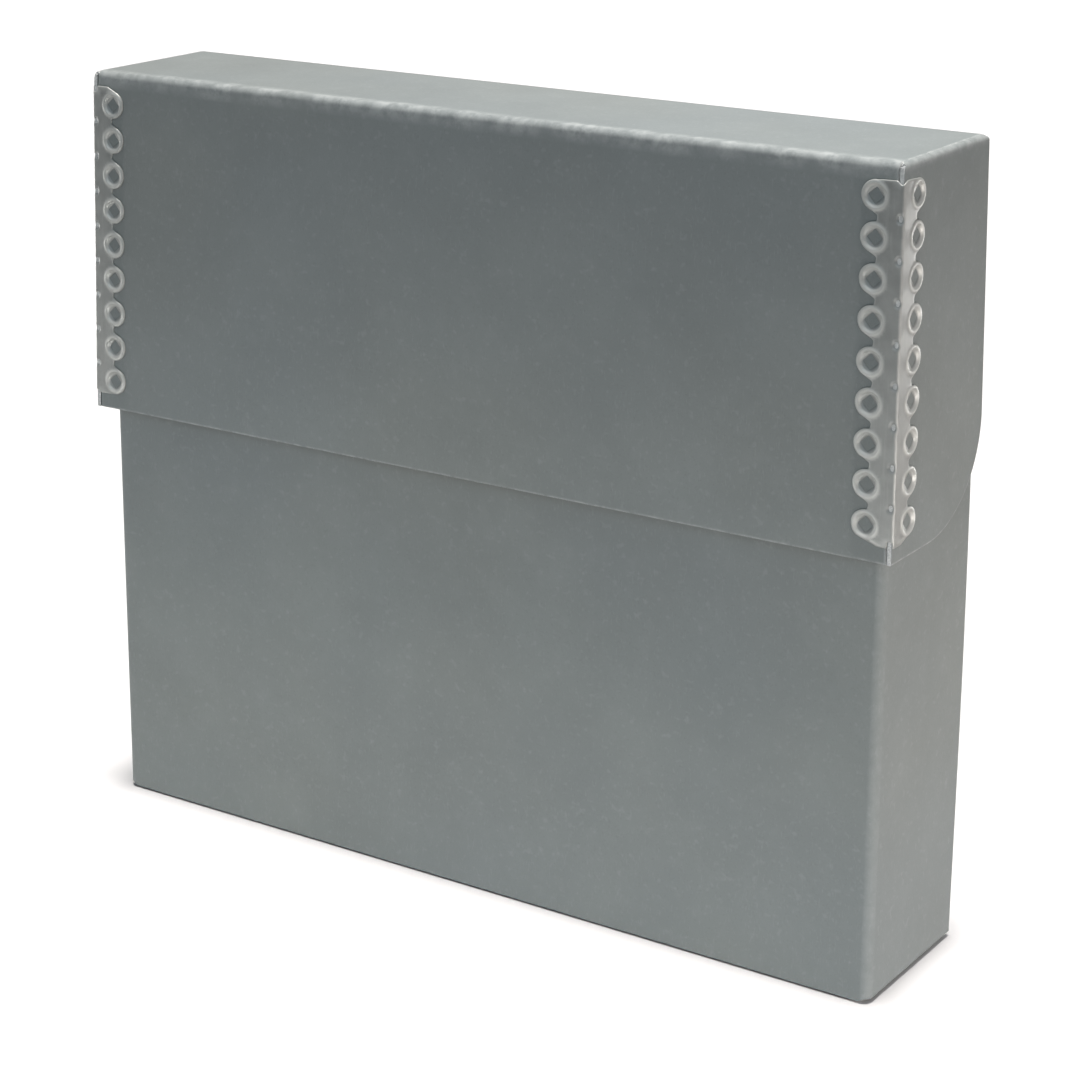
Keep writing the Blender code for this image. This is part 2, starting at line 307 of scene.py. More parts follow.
def border_of(rows, columns):
    """Row and column of every border point, once round."""
    ring = [(0, column) for column in range(columns)]
    ring += [(row, columns - 1) for row in range(1, rows)]
    ring += [(rows - 1, column) for column in range(columns - 2, -1, -1)]
    ring += [(row, 0) for row in range(rows - 2, 0, -1)]
    return np.array(ring)


def new_object(name, points, faces, materials, face_materials, wear_and_highlight):
    """Make a smooth mesh object with a value at every point: wear on board, painted highlights on
    the metal stays.
    """
    mesh = bpy.data.meshes.new(name)
    mesh.from_pydata([tuple(point) for point in points], [], faces)
    for material in materials:
        mesh.materials.append(material)
    mesh.polygons.foreach_set("material_index", face_materials)
    mesh.shade_smooth()
    # This attribute holds the board's wear, and the stays' painted highlights.
    attribute = mesh.attributes.new("wear_and_highlight", "FLOAT", "POINT")
    attribute.data.foreach_set("value", np.asarray(wear_and_highlight, np.float32))
    made = bpy.data.objects.new(name, mesh)
    bpy.context.scene.collection.objects.link(made)
    return made


def board_sheet(name, grid, facing, materials, folds=None, cuts=(1, 1, 1, 1), dents=None):
    """A sheet of board whose outer face follows a grid, with its cut edges closed and rounded.

    facing is roughly the outward way at the grid's middle. cuts says which borders are cut: the
    first row, the last row, the first column and the last column. dents push the face inwards.
    """
    folds = np.zeros(grid.shape[:2]) if folds is None else folds
    dents = np.zeros(grid.shape[:2]) if dents is None else dents
    middle = normals_of(grid)[grid.shape[0] // 2, grid.shape[1] // 2]
    if middle @ np.array(facing) < 0:
        grid, folds, dents = grid[:, ::-1], folds[:, ::-1], dents[:, ::-1]
        cuts = (cuts[0], cuts[1], cuts[3], cuts[2])
    rows, columns = grid.shape[:2]
    normals = normals_of(grid)
    dents = dents + WARP * (1 + wanders(grid, WARP_SCALE, 3.0)) / 2
    outer = grid - normals * dents[..., None]
    inner = outer - normals * BOARD

    cut = np.zeros((rows, columns))
    cut[0] = np.maximum(cut[0], cuts[0])
    cut[-1] = np.maximum(cut[-1], cuts[1])
    cut[:, 0] = np.maximum(cut[:, 0], cuts[2])
    cut[:, -1] = np.maximum(cut[:, -1], cuts[3])
    ring = border_of(rows, columns)
    edge_row, edge_column = ring[:, 0], ring[:, 1]
    inside = outer[np.clip(edge_row, 1, rows - 2), np.clip(edge_column, 1, columns - 2)]
    edge = outer[edge_row, edge_column].copy()
    normal = normals[edge_row, edge_column]
    outward = edge - inside
    outward /= np.linalg.norm(outward, axis=-1, keepdims=True)
    soft = CUT_ROUND * cut[edge_row, edge_column][:, None]
    ragged = RAGGED * soft * wanders(edge, RAGGED_SCALE, 9.0)[:, None]
    outer[edge_row, edge_column] = edge - EDGE_EASE * soft * (outward + normal)
    inner[edge_row, edge_column] = (edge - normal * BOARD
                                    - EDGE_EASE * soft * (outward - normal))
    first_rim = edge - normal * soft - outward * np.abs(ragged)
    second_rim = edge - normal * (BOARD - soft) - outward * np.abs(ragged[::-1])

    count = rows * columns
    index = np.arange(count).reshape(rows, columns)
    quads = np.stack([index[:-1, :-1], index[1:, :-1], index[1:, 1:], index[:-1, 1:]], -1)
    faces = [tuple(quad) for quad in quads.reshape(-1, 4).tolist()]
    faces += [tuple(count + corner for corner in reversed(quad)) for quad in list(faces)]
    plain = len(faces)
    loops = [index[edge_row, edge_column], 2 * count + np.arange(len(ring)),
             2 * count + len(ring) + np.arange(len(ring)), count + index[edge_row, edge_column]]
    for near, far in zip(loops, loops[1:]):
        strip = np.stack([near, np.roll(near, -1), np.roll(far, -1), far], -1)
        faces += [tuple(quad) for quad in strip.tolist()]
    worn = np.maximum(cut, folds)
    second = np.zeros_like(cut)
    second[1], second[-2] = cuts[0], np.maximum(second[-2], cuts[1])
    second[:, 1] = np.maximum(second[:, 1], cuts[2])
    second[:, -2] = np.maximum(second[:, -2], cuts[3])
    worn = np.maximum(worn, BORDER_WEAR * second).reshape(-1)
    wear_and_highlight = np.concatenate([worn, worn, np.ones(2 * len(ring))])
    points = np.concatenate([outer.reshape(-1, 3), inner.reshape(-1, 3), first_rim, second_rim])
    kinds = [0] * plain + [1] * (len(faces) - plain)
    return new_object(name, points, faces, materials, kinds, wear_and_highlight)


def finish_piece(piece, body, slot, *nodes):
    """Let a piece ride on its body and stand for its CAD nodes. Its slot is not used."""
    if body:
        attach(piece, body)
    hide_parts(*nodes)
    return piece


# ---------------------------------------------------------------- materials

def add_node(tree, kind, inputs=None, **settings):
    """Add a shader node, set its settings, and set or link its inputs."""
    made = tree.nodes.new(kind)
    for name, value in settings.items():
        setattr(made, name, value)
    for name, value in (inputs or {}).items():
        if isinstance(value, bpy.types.NodeSocket):
            tree.links.new(value, made.inputs[name])
        else:
            made.inputs[name].default_value = value
    return made


def noise_value(tree, where, scale, detail=2.0, roughness=0.5):
    """Noise from 0 to 1 over the object, in grains of about 1 / scale metres."""
    made = add_node(tree, "ShaderNodeTexNoise", {"Vector": where, "Scale": scale, "Detail": detail,
                                                 "Roughness": roughness})
    return made.outputs["Fac"]


def stretched(tree, where, scale):
    """Object coordinates scaled differently each way, for fibres that lie one way."""
    made = add_node(tree, "ShaderNodeMapping", {"Vector": where, "Scale": scale})
    return made.outputs["Vector"]


def remap(tree, value, low, high, new_low=0.0, new_high=1.0):
    """Stretch a value's range to another one."""
    made = add_node(tree, "ShaderNodeMapRange", {"Value": value, "From Min": low, "From Max": high,
                                                 "To Min": new_low, "To Max": new_high})
    return made.outputs["Result"]


def combine(tree, operation, first, second):
    """Arithmetic on two values."""
    made = add_node(tree, "ShaderNodeMath", operation=operation)
    for socket, value in zip(made.inputs, (first, second)):
        if isinstance(value, bpy.types.NodeSocket):
            tree.links.new(value, socket)
        else:
            socket.default_value = value
    return made.outputs["Value"]


def mix_colour(tree, factor, first, second, blend_type="MIX"):
    """Mix two colours by a factor."""
    made = add_node(tree, "ShaderNodeMix", data_type="RGBA", blend_type=blend_type)
    sockets = (made.inputs[0], made.inputs[6], made.inputs[7])
    for socket, value in zip(sockets, (factor, first, second)):
        if isinstance(value, bpy.types.NodeSocket):
            tree.links.new(value, socket)
        else:
            socket.default_value = value if isinstance(value, float) else (*value, 1.0)
    return made.outputs[2]


def start_material(name, roughness, metallic=0.0, specular=0.3):
    """A node material, its shader, and the object's coordinates."""
    material = bpy.data.materials.new(name)
    material.use_nodes = True
    tree = material.node_tree
    shader = tree.nodes["Principled BSDF"]
    shader.inputs["Roughness"].default_value = roughness
    shader.inputs["Metallic"].default_value = metallic
    shader.inputs["Specular IOR Level"].default_value = specular
    where = add_node(tree, "ShaderNodeTexCoord").outputs["Object"]
    return material, tree, shader, where


def add_bump(tree, shader, height, strength, distance):
    """Roughen a surface by a height value."""
    bump = add_node(tree, "ShaderNodeBump", {"Height": height, "Strength": strength,
                                             "Distance": distance})
    tree.links.new(bump.outputs["Normal"], shader.inputs["Normal"])


def board_material(name, tone):
    """Dyed archival board: cloudy pulp, flecks and fibres, paler where it is creased or cut."""
    material, tree, shader, where = start_material(name, 0.88, specular=0.22)
    clouds = noise_value(tree, where, 26, 4.0, 0.6)
    colour = mix_colour(tree, remap(tree, clouds, 0.3, 0.7), tuple(0.94 * part for part in tone),
                        tuple(1.06 * part for part in tone))
    tint = noise_value(tree, where, 9, 2.0)
    colour = mix_colour(tree, remap(tree, tint, 0.35, 0.65, 0.0, 0.35), colour, BOARD_COOL)
    blots = noise_value(tree, where, 150, 3.0, 0.6)
    colour = mix_colour(tree, remap(tree, blots, 0.52, 0.75, 0.0, 0.05), colour, BOARD_PALE)
    specks = noise_value(tree, where, 1300, 2.0)
    dark = tuple(0.72 * part for part in tone)
    colour = mix_colour(tree, remap(tree, specks, 0.58, 0.72, 0.0, 0.22), colour, dark)
    for scale in ((450, 1900, 500), (1900, 500, 450)):
        fibres = noise_value(tree, stretched(tree, where, scale), 1.0, 1.0)
        colour = mix_colour(tree, remap(tree, fibres, 0.62, 0.76, 0.0, 0.11), colour, BOARD_PALE)
    worn = add_node(tree, "ShaderNodeAttribute", attribute_name="wear_and_highlight").outputs["Fac"]
    patchy = remap(tree, noise_value(tree, where, 260, 3.0, 0.65), 0.35, 0.62, 0.15, 0.75)
    colour = mix_colour(tree, combine(tree, "MULTIPLY", worn, patchy), colour, BOARD_PALE)
    tree.links.new(colour, shader.inputs["Base Color"])
    pulp = noise_value(tree, where, 1500, 3.0, 0.6)
    lumps = noise_value(tree, where, 210, 2.0)
    height = combine(tree, "ADD", pulp, combine(tree, "MULTIPLY", lumps, 1.6))
    add_bump(tree, shader, height, 0.35, 0.00006)
    return material


def cut_edge_material(name):
    """The cut edge of board: pale, fibrous layers."""
    material, tree, shader, where = start_material(name, 0.95, specular=0.15)
    fibres = noise_value(tree, where, 1600, 3.0, 0.7)
    colour = mix_colour(tree, remap(tree, fibres, 0.35, 0.65), *CUT_EDGE)
    stains = noise_value(tree, where, 240, 2.0)
    colour = mix_colour(tree, remap(tree, stains, 0.55, 0.7, 0.0, 0.5), colour, CUT_EDGE[0])
    tree.links.new(colour, shader.inputs["Base Color"])
    add_bump(tree, shader, fibres, 0.5, 0.0001)
    return material


def stay_material():
    """Grey-lacquered steel strip with faint scuffs, and painted highlights on its rings, dish
    walls and edges.
    """
    material, tree, shader, where = start_material("pressed_metal", 0.42, metallic=0.3,
                                                   specular=0.4)
    cloud = noise_value(tree, where, 180, 3.0, 0.6)
    colour = mix_colour(tree, remap(tree, cloud, 0.3, 0.7), *METAL_COLOURS)
    scuffs = noise_value(tree, stretched(tree, where, (900, 900, 90)), 1.0, 2.0)
    colour = mix_colour(tree, remap(tree, scuffs, 0.55, 0.75, 0.0, 0.4), colour, METAL_SCUFF)
    # Painted highlights: the lit ring crests, dish walls, end ridge and rim are painted paler.
    painted_highlight_mask = add_node(tree, "ShaderNodeAttribute", attribute_name="wear_and_highlight").outputs["Fac"]
    colour = mix_colour(tree, painted_highlight_mask, colour, METAL_HIGHLIGHT)
    tree.links.new(colour, shader.inputs["Base Color"])
    rough = combine(tree, "ADD", remap(tree, cloud, 0.3, 0.7, 0.36, 0.46),
                    remap(tree, scuffs, 0.55, 0.75, 0.0, 0.12))
    tree.links.new(rough, shader.inputs["Roughness"])
    add_bump(tree, shader, combine(tree, "ADD", cloud, scuffs), 0.12, 0.00008)
    return material


def floor_material():
    """A plain pale floor with a barely uneven sheen."""
    material, tree, shader, where = start_material("pale_floor", 0.8, specular=0.1)
    cloud = noise_value(tree, where, 3, 2.0)
    colour = mix_colour(tree, remap(tree, cloud, 0.3, 0.7), *FLOOR_COLOURS)
    tree.links.new(colour, shader.inputs["Base Color"])
    return material


# ---------------------------------------------------------------- the case

def foot_heights(x):
    """Height of a wall's lower edge, and the radius that it curls under with, at one x."""
    over = np.clip(np.abs(x) - (CASE_HALF - LOWER_CORNER), 0, LOWER_CORNER)
    low = LOWER_CORNER - np.sqrt(LOWER_CORNER ** 2 - over ** 2)
    curl = BOTTOM_FOLD + (WALL_FOOT_FOLD - BOTTOM_FOLD) * over / LOWER_CORNER
    return np.minimum(low, WALL_LIFT), curl


def wall_grid(corners, radii, step):
    """Three walls folded from one sheet, from the top edge down to the foot that curls under."""
    plan, folds = folded(corners, radii, step)
    ahead = np.gradient(plan, axis=0)
    ahead /= np.linalg.norm(ahead, axis=1, keepdims=True)
    inwards = np.stack([-ahead[:, 1], ahead[:, 0]], 1)
    middle = np.array([0.0, (CASE_FRONT + REAR) / 2])
    inwards *= np.sign(np.sum(inwards * (middle - plan), axis=1))[:, None]
    low, curl = foot_heights(plan[:, 0])
    share = marks(CASE_TOP, step) / CASE_TOP
    rows = []
    for part in share:
        z = CASE_TOP + (low + curl - CASE_TOP) * part
        rows.append(np.column_stack([plan, z]))
    for part in range(1, FOLD_STEPS + 1):
        angle = math.pi / 2 * part / FOLD_STEPS
        z = low + curl * (1 - math.sin(angle))
        rows.append(np.column_stack([plan + inwards * (curl * (1 - math.cos(angle)))[:, None], z]))
    grid = np.array(rows)
    fold_grid = np.tile(folds, (len(rows), 1)) * CORNER_WEAR
    fold_grid[len(share):] = FOOT_WEAR
    return grid, fold_grid


def make_case_front(materials):
    """The front wall and the outer end walls, folded from one sheet."""
    corners = [(CASE_HALF, REAR), (CASE_HALF, CASE_FRONT), (-CASE_HALF, CASE_FRONT),
               (-CASE_HALF, REAR)]
    grid, folds = wall_grid(corners, (CASE_FOLD, CASE_FOLD), MEDIUM)
    dents = WALL_DENT * folds * (1 + wanders(grid, WALL_DENT_SCALE, 5.0))
    piece = board_sheet("case_front_and_ends", lean(grid), (0, -1, 0), materials, folds,
                        dents=dents)
    finish_piece(piece, "case", "case_board", "front_panel", "outer_end_wall_left",
                 "outer_end_wall_right")


def make_case_back(materials):
    """The back wall and the inner end walls, folded from a second sheet."""
    front = CASE_FRONT + LAYER
    corners = [(-BACK_HALF, front), (-BACK_HALF, REAR), (BACK_HALF, REAR), (BACK_HALF, front)]
    grid, folds = wall_grid(corners, (BACK_FOLD, BACK_FOLD), MEDIUM)
    piece = board_sheet("case_back_and_inner_ends", lean(grid), (0, 1, 0), materials, folds)
    finish_piece(piece, "case", "case_board", "back_panel", "inner_end_wall_left",
                 "inner_end_wall_right")


def make_case_bottom(materials):
    """The bottom, with a tab folded up inside each end."""
    corners = [(-TAB_HIGH.x, TAB_HIGH.z), (-TAB_HIGH.x, 0.0), (TAB_HIGH.x, 0.0),
               (TAB_HIGH.x, TAB_HIGH.z)]
    profile, folds = folded(corners, (BOTTOM_FOLD, BOTTOM_FOLD), MEDIUM)
    depth = marks(REAR - LAYER - (CASE_FRONT + LAYER), MEDIUM) + CASE_FRONT + LAYER
    grid = np.zeros((len(depth), len(profile), 3))
    grid[..., 0] = profile[:, 0]
    grid[..., 1] = depth[:, None]
    grid[..., 2] = profile[:, 1]
    piece = board_sheet("case_bottom_and_tabs", lean(grid), (0, 0, -1), materials,
                        np.tile(folds * TAB_FOLD_WEAR, (len(depth), 1)))
    finish_piece(piece, "case", "inner_board", "bottom_panel", "bottom_end_tab_left",
                 "bottom_end_tab_right")


# ---------------------------------------------------------------- the lid

def crush(grid, seed):
    """Small dents of a fold that was pressed and knocked."""
    soft = wanders(grid, CRUSH_SCALE, seed)
    small = wanders(grid, KNOCK_SCALE, seed + 4)
    return CRUSH * np.clip(soft, 0, 1) + KNOCK * np.clip(small, 0, 1)


def near_fold(grid, place, reach):
    """How near each point lies to a line along x, from 0 to 1."""
    away = np.hypot(grid[..., 1] - place[0], grid[..., 2] - place[1])
    return np.clip(1 - away / reach, 0, 1)


def make_lid_front(materials):
    """The lid's top and front flap, folded from one sheet, with a crushed front fold."""
    corners = [(REAR - CREASE_FOLD, HEIGHT), (LID_FRONT, HEIGHT), (LID_FRONT, FLAP_LOW)]
    profile, _ = folded(corners, (TOP_FOLD,), MEDIUM)
    half = LID_HALF - SEAM
    width = marks(2 * half, FINE) - half
    grid = np.zeros((len(profile), len(width), 3))
    grid[..., 0] = width
    grid[..., 1] = profile[:, 0][:, None]
    grid[..., 2] = profile[:, 1][:, None]
    close = near_fold(grid, (LID_FRONT, HEIGHT), TOP_FOLD_REACH)
    patchy = np.clip(0.75 + 0.8 * wanders(grid, TOP_WEAR_SCALE, 8.0), 0.2, 1)
    folds = np.clip(1.6 * close, 0, 1) * patchy
    dents = crush(grid, 2.0) * np.clip(2 * close, 0, 1)
    piece = board_sheet("lid_top_and_front", spread(grid), (0, -0.7, 0.7), materials, folds,
                        cuts=(0, 1, 1, 1), dents=dents)
    finish_piece(piece, "lid", "lid_board", "lid_top_panel", "lid_front_flap")


def round_rear_corner(grid):
    """Round the lid's upper rear corner as the crease is rounded."""
    back = grid[..., 1] - (REAR - CREASE_FOLD)
    rise = grid[..., 2] - (HEIGHT - CREASE_FOLD)
    inside = (back > 0) & (rise > 0)
    away = np.maximum(np.hypot(back, rise), SAME_PLACE)
    scale = np.where(inside, np.maximum(back, rise) / away, 1.0)
    rounded = grid.copy()
    rounded[..., 1] = np.where(inside, REAR - CREASE_FOLD + back * scale, grid[..., 1])
    rounded[..., 2] = np.where(inside, HEIGHT - CREASE_FOLD + rise * scale, grid[..., 2])
    return rounded


def make_lid_side(side_name, side, materials):
    """A side flap with its fold to the top, its big lower rear corner and a free upper corner."""
    turn_y = REAR - FLAP_CORNER
    flat = marks(turn_y - LID_FRONT, MEDIUM) + LID_FRONT
    quarter = np.linspace(0, math.pi / 2, FREE_CORNER_STEPS + 1)
    near_front = LID_FRONT + FREE_CORNER * (1 - np.cos(quarter))
    corner = turn_y + FLAP_CORNER * np.sin(np.linspace(0, math.pi / 2, CORNER_STEPS + 1))[1:]
    depth = np.unique(np.concatenate([flat, near_front, corner]).round(6))
    over = np.clip(depth - turn_y, 0, FLAP_CORNER)
    low = FLAP_LOW + FLAP_CORNER - np.sqrt(np.maximum(FLAP_CORNER ** 2 - over ** 2, 0))
    free = np.clip(1 - (depth - LID_FRONT) / FREE_CORNER, 0, 1)
    begin = (SIDE_FOLD + FREE_CORNER) * (1 - np.sqrt(1 - free ** 2))
    arc_length = SIDE_FOLD * math.pi / 2
    handover = arc_length + 2 * FREE_CORNER
    first = np.linspace(0, 1, 2 * FOLD_STEPS)
    rest = marks(FLAP_DROP, MEDIUM)[1:] / FLAP_DROP
    foot = arc_length + (HEIGHT - SIDE_FOLD - low)
    rows = [begin + (handover - begin) * part for part in first]
    rows += [handover + (foot - handover) * part for part in rest]
    path = np.array(rows)
    angle = np.clip(path / SIDE_FOLD, 0, math.pi / 2)
    grid = np.zeros((*path.shape, 3))
    grid[..., 0] = side * (LID_HALF - SIDE_FOLD * (1 - np.sin(angle)))
    grid[..., 1] = depth
    grid[..., 2] = HEIGHT - SIDE_FOLD * (1 - np.cos(angle)) - np.maximum(path - arc_length, 0)
    folds = SIDE_FOLD_WEAR * np.clip(1 - np.abs(path - arc_length / 2) / arc_length, 0, 1)
    dents = 0.6 * crush(grid, 6.0) * folds
    piece = board_sheet(f"lid_side_{side_name}", spread(round_rear_corner(grid)), (side, 0, 0),
                        materials, folds, cuts=(0.5, 1, 1, 1), dents=dents)
    finish_piece(piece, "lid", "lid_board", f"lid_side_flap_{side_name}")


def make_crease(materials):
    """The scored rear fold, which bends between the case and the lid."""
    half = LID_HALF - SEAM
    width = marks(2 * half, MEDIUM) - half
    grid = np.zeros((2 * FOLD_STEPS + 1, len(width), 3))
    grid[..., 0] = width
    for row in range(2 * FOLD_STEPS + 1):
        angle = math.pi / 2 * row / (2 * FOLD_STEPS)
        grid[row, :, 1] = REAR - CREASE_FOLD * (1 - math.cos(angle))
        grid[row, :, 2] = HEIGHT - CREASE_FOLD * (1 - math.sin(angle))
    piece = board_sheet("lid_crease", grid, (0, 0.7, 0.7), materials,
                        np.full(grid.shape[:2], CREASE_WEAR), cuts=(0, 0, 1, 1))
    finish_piece(piece, None, "lid_board", "rear_crease")
    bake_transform(piece)


# ---------------------------------------------------------------- the stays

def lobe_middles():
    """Where the lobes lie along the strip."""
    return STAY_FIRST + STAY_PITCH * np.arange(STAY_LOBES)


def circle_part(centre, radius, start, end, count):
    """Points along part of a circle, with its angles in degrees."""
    angles = np.radians(np.linspace(start, end, count))
    return [(centre[0] + radius * math.cos(angle), centre[1] + radius * math.sin(angle))
            for angle in angles]


def even_loop(points, step):
    """Points at even distances round a closed outline."""
    closed = np.vstack([points, points[:1]])
    lengths = np.linalg.norm(np.diff(closed, axis=0), axis=1)
    travelled = np.concatenate([[0], np.cumsum(lengths)])
    places = np.linspace(0, travelled[-1], round(travelled[-1] / step), endpoint=False)
    return np.column_stack([np.interp(places, travelled, closed[:, axis]) for axis in (0, 1)])


def stay_outline(blunt):
    """The strip's outline, with its corners softened as the press leaves them.

    A blunt strip is cut off so that its last lobe stays nearly round.
    """
    leg = [(END_DIP_HALF, 0.0), (ROUND_END_ACROSS, ROUND_END_RISE)]
    for middle in lobe_middles():
        leg.append((NOTCH_ACROSS, max(middle - STAY_PITCH / 2 + NOTCH_HALF, LEAST_ALONG)))
        leg += circle_part((LOBE_ACROSS, middle), LOBE_RADIUS, LOBE_START, LOBE_SLANT, LOBE_STEPS)
        leg.append((NOTCH_ACROSS, middle + STAY_PITCH / 2 - NOTCH_HALF))
    leg[-1] = (SLANT_END_ACROSS, STAY_LENGTH)
    if blunt:
        last = (LOBE_ACROSS, lobe_middles()[-1])
        leg[-1:] = circle_part(last, LOBE_RADIUS, LOBE_SLANT, BLUNT_LOBE_END, BLUNT_STEPS)
        leg.append((BLUNT_END_ACROSS, STAY_LENGTH))
    slot_top = STAY_LENGTH - SLOT_DEPTH
    slot = [(END_CENTRE + SLOT_HALF, STAY_LENGTH), (END_CENTRE + SLOT_HALF, slot_top),
            (END_CENTRE - SLOT_HALF, slot_top), (END_CENTRE - SLOT_HALF, STAY_LENGTH)]
    other_leg = [(-across, along) for across, along in reversed(leg)]
    loop = [(END_CENTRE, END_DIP), *leg, *slot, *other_leg]
    outline = even_loop(np.array(loop), STAY_FINE)
    for _ in range(3):
        outline = (np.roll(outline, 1, 0) + 2 * outline + np.roll(outline, -1, 0)) / 4
    return outline


def edge_distance(points, outline):
    """Each point's distance from an outline."""
    start, end = outline, np.roll(outline, -1, 0)
    best = np.full(len(points), 1.0)
    for first, run in zip(start, end - start):
        along = np.clip(((points - first) @ run) / (run @ run), 0, 1)
        away = points - (first + along[:, None] * run)
        best = np.minimum(best, np.hypot(away[:, 0], away[:, 1]))
    return best


def inside_outline(points, outline):
    """Which points lie inside an outline, by counting crossings."""
    inside = np.zeros(len(points), bool)
    for first, second in zip(outline, np.roll(outline, -1, 0)):
        crosses = (first[1] > points[:, 1]) != (second[1] > points[:, 1])
        if first[1] != second[1]:
            share = (points[:, 1] - first[1]) / (second[1] - first[1])
            inside ^= crosses & (points[:, 0] < first[0] + share * (second[0] - first[0]))
    return inside


def hole_corners(side, middle):
    """The corners of a square hole that stands on its corner, nearly upright."""
    turn = HOLE_TURN * (0.6 + wander((side, 90 * middle, 0), 1.0))
    return np.array(circle_part((side * LOBE_ACROSS, middle), HOLE_REACH, turn, turn + 270, 4))


def hole_points(side, middle):
    """A square hole's edge, with its corners slightly eased."""
    loop = even_loop(hole_corners(side, middle), STAY_FINE)
    return (np.roll(loop, 1, 0) + 2 * loop + np.roll(loop, -1, 0)) / 4


def stay_points(outline):
    """Points inside the strip: closer together round the eyelets, dimples, bend and edge."""
    bend_half = STAY_BEND * math.pi / 4
    eyes = [(side * LOBE_ACROSS, middle) for side in (-1, 1) for middle in lobe_middles()]
    found = []
    for eye in eyes:
        for radius in np.arange(HOLE_REACH + STAY_FINE / 2, LOBE_RADIUS, STAY_FINE):
            found += circle_part(eye, radius, 0, 360 - 360 / EYE_POINTS, EYE_POINTS)
    for across in np.linspace(-bend_half, bend_half, BEND_LINES):
        found += [(across, along) for along in np.arange(STAY_FINE, STAY_LENGTH, 2 * STAY_FINE)]
    for middle in (lobe_middles()[1:] - STAY_PITCH / 2):
        for across in np.arange(-2 * DIMPLE_ACROSS, 2 * DIMPLE_ACROSS, STAY_FINE):
            found += [(across, middle + along)
                      for along in np.arange(-1.3 * DIMPLE_ALONG, 1.3 * DIMPLE_ALONG, STAY_FINE)]
    found = np.array(found)
    grid = [(across, along) for across in np.arange(-STAY_HALF_WIDTH, STAY_HALF_WIDTH, STAY_GRAIN)
            for along in np.arange(0, STAY_LENGTH, STAY_GRAIN)]
    grid = np.array(grid)
    from_eyes = np.min([np.hypot(*(grid - eye).T) for eye in eyes], axis=0)
    grid = grid[(from_eyes > LOBE_RADIUS) & (np.abs(grid[:, 0]) > 2 * DIMPLE_ACROSS)]
    ahead = np.roll(outline, -1, 0) - np.roll(outline, 1, 0)
    ahead /= np.linalg.norm(ahead, axis=1, keepdims=True)
    inwards = np.column_stack([-ahead[:, 1], ahead[:, 0]])
    found = np.vstack([found, grid])
    clear = edge_distance(found, outline) > 1.2 * STAY_FINE
    found = found[inside_outline(found, outline) & clear]
    for inset in (0.4 * STAY_FINE, 0.95 * STAY_FINE):
        border = outline + inwards * inset
        keep = inside_outline(border, outline) & (edge_distance(border, outline) > 0.9 * inset)
        found = np.vstack([found, border[keep]])
    return found


def hump(value):
    """A smooth bump: 1 at 0, and 0 from 1 on."""
    near = np.clip(1 - np.abs(value), 0, 1)
    return near * near * (3 - 2 * near)


def stay_relief(flat, outline):
    """How far the press lifted each point of the strip, and how strong its painted highlight is.
    """
    lift = np.zeros(len(flat))
    painted_highlight = np.zeros(len(flat))
    for side in (-1, 1):
        for middle in lobe_middles():
            away = np.hypot(flat[:, 0] - side * LOBE_ACROSS, flat[:, 1] - middle)
            ring = hump((away - RING_RADIUS) / RING_HALF)
            dish = np.clip((DISH_RADIUS - away) / DISH_SLOPE, 0, 1)
            lift += RING_HEIGHT * ring - DISH_DEPTH * dish * dish * (3 - 2 * dish)
            wall = hump((away - DISH_RADIUS + DISH_SLOPE / 2) / DISH_SLOPE)
            # Ring crests and dish walls get painted highlights.
            painted_highlight = np.maximum(painted_highlight, np.maximum(RING_HIGHLIGHT * ring, DISH_HIGHLIGHT * wall))
    for middle in lobe_middles()[1:] - STAY_PITCH / 2:
        away = np.hypot((flat[:, 0] - DIMPLE_CENTRE) / DIMPLE_ACROSS,
                        (flat[:, 1] - middle) / DIMPLE_ALONG)
        lift -= DIMPLE_DEPTH * hump(away)
    distance = edge_distance(flat, outline)
    ridge = hump(distance / RING_HALF - 1) * (flat[:, 1] > STAY_LENGTH - RIDGE_LENGTH)
    ridge *= np.clip(np.abs(flat[:, 0]) / END_DIP_HALF, 0, 1)
    lift += RIDGE_HEIGHT * ridge * (lift > -RIDGE_HEIGHT / 2)
    # The end ridge gets a painted highlight.
    painted_highlight = np.maximum(painted_highlight, RIDGE_HIGHLIGHT * ridge)
    rim = np.clip(1 - distance / STAY_FINE, 0, 1)
    lift -= RIM_DROP * METAL * (1 - np.sqrt(np.maximum(1 - rim ** 2, 0)))
    # The cut rim gets a painted highlight.
    painted_highlight = np.maximum(painted_highlight, RIM_HIGHLIGHT * hump(distance / RIM_REACH))
    return lift, painted_highlight


def bend_round(flat, lift, side, top):
    """Bend flat points round the lid's front corner on one side."""
    half = STAY_BEND * math.pi / 4
    angle = np.clip(flat[:, 0], -half, half) / STAY_BEND + math.pi / 4
    inner = STAY_BEND - METAL_LIFT
    radius = STAY_BEND + lift
    x = LID_HALF - inner + radius * np.sin(angle) + np.minimum(flat[:, 0] + half, 0)
    y = LID_FRONT + inner - radius * np.cos(angle) + np.maximum(flat[:, 0] - half, 0)
    along = flat[:, 1] if side > 0 else STAY_LENGTH - flat[:, 1]
    return spread(np.column_stack([side * x, y, top - along]))


def flat_stay_mesh(blunt):
    """The flat strip's points, its triangles, its relief and its painted highlights."""
    outline = stay_outline(blunt)
    points = list(outline)
    edges = []
    for side in (-1, 1):
        for middle in lobe_middles():
            loop = hole_points(side, middle)
            first = len(points)
            points += list(loop)
            edges += [(first + step, first + (step + 1) % len(loop)) for step in range(len(loop))]
    points += list(stay_points(outline))
    made = delaunay_2d_cdt([Vector(point) for point in points], edges,
                           [list(range(len(outline)))], INSIDE_ONLY, SAME_POINT)
    flat = np.array([tuple(point) for point in made[0]])
    triangles = np.array(made[2])
    middle = flat[triangles].mean(axis=1)
    in_hole = np.zeros(len(triangles), bool)
    for side in (-1, 1):
        for lobe in lobe_middles():
            in_hole |= inside_outline(middle, hole_points(side, lobe))
    lift, painted_highlight = stay_relief(flat, outline)
    return flat, triangles[~in_hole], lift, painted_highlight


